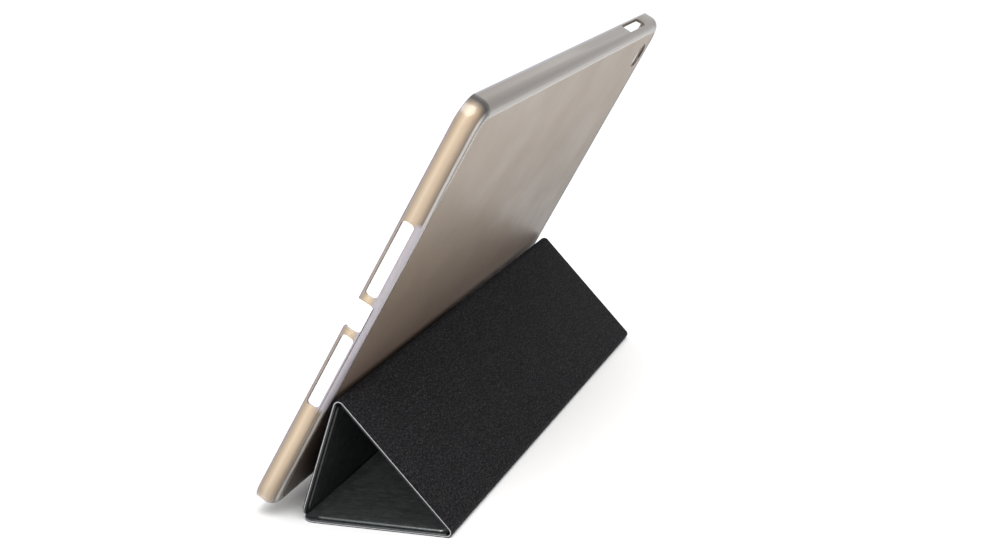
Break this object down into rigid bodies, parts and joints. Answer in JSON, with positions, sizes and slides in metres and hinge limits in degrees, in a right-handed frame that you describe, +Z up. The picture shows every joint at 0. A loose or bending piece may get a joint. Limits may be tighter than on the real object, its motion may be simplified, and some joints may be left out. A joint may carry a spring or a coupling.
{
  "type": "folding tablet case",
  "caption": "Clear rigid tray for a tablet with a magnetic folding cover that folds into a triangular stand behind it.",
  "frame": {"origin": "on the ground under the middle of the case's outer box, in its stand pose", "axes": "+X along the long side towards the end with the charging-port notch, +Y from the screen side to the stand side, +Z up"},
  "size_m": [0.2536, 0.0951, 0.1589],
  "materials": {
    "clear_plastic": "clear hard plastic, frosted on the back face and polished on the walls",
    "black_leather": "black smooth coated leather, half gloss, fine grain",
    "charcoal_microfibre": "charcoal microfibre, matt with a fine speckle",
    "grey_board": "stiff grey board, hidden between the plies",
    "white_tape": "double-sided adhesive tape",
    "nickel_magnet": "nickel-plated magnet",
    "zinc_steel": "zinc-plated steel strip"
  },
  "bodies": {
    "tray": {"back_tray": "clear_plastic", "hinge_flange_tape": "white_tape", "hinge_flange_leather": "black_leather"},
    "spine": {"tray_fold_web": "black_leather", "spine_leather": "black_leather", "spine_board": "grey_board", "spine_lining": "charcoal_microfibre"},
    "first_panel": {"spine_fold_web": "black_leather", "first_panel_leather": "black_leather", "first_panel_board": "grey_board", "first_panel_lining": "charcoal_microfibre", "first_panel_steel_strip": "zinc_steel"},
    "middle_panel": {"back_fold_web": "black_leather", "middle_panel_leather": "black_leather", "middle_panel_board": "grey_board", "middle_panel_lining": "charcoal_microfibre"},
    "end_panel": {"apex_fold_web": "black_leather", "end_panel_leather": "black_leather", "end_panel_board": "grey_board", "end_panel_lining": "charcoal_microfibre", "latch_magnet_1": "nickel_magnet", "latch_magnet_2": "nickel_magnet", "latch_magnet_3": "nickel_magnet", "latch_magnet_4": "nickel_magnet", "sleep_magnet": "nickel_magnet"}
  },
  "joints": [
    {"name": "cover_swing", "type": "hinge", "parent": "tray", "child": "spine", "pos_m": [0, -0.03999, 0.00065], "axis": [-1, 0, 0], "range_deg": [0, 210.4]},
    {"name": "cover_close", "type": "hinge", "parent": "spine", "child": "first_panel", "pos_m": [0, -0.02779, 0.00065], "axis": [-1, 0, 0], "range_deg": [0, 90]},
    {"name": "back_fold_unroll", "type": "hinge", "parent": "first_panel", "child": "middle_panel", "pos_m": [0, 0.03221, 0.00065], "axis": [-1, 0, 0], "range_deg": [0, 131.7]},
    {"name": "apex_fold_unroll", "type": "hinge", "parent": "middle_panel", "child": "end_panel", "pos_m": [0, -0.01117, 0.04933], "axis": [-1, 0, 0], "range_deg": [0, 119.2]}
  ],
  "couplings": [
    {"joint": "back_fold_unroll", "follows": "cover_swing", "ratio": 0.6259},
    {"joint": "apex_fold_unroll", "follows": "cover_swing", "ratio": 0.5664}
  ]
}
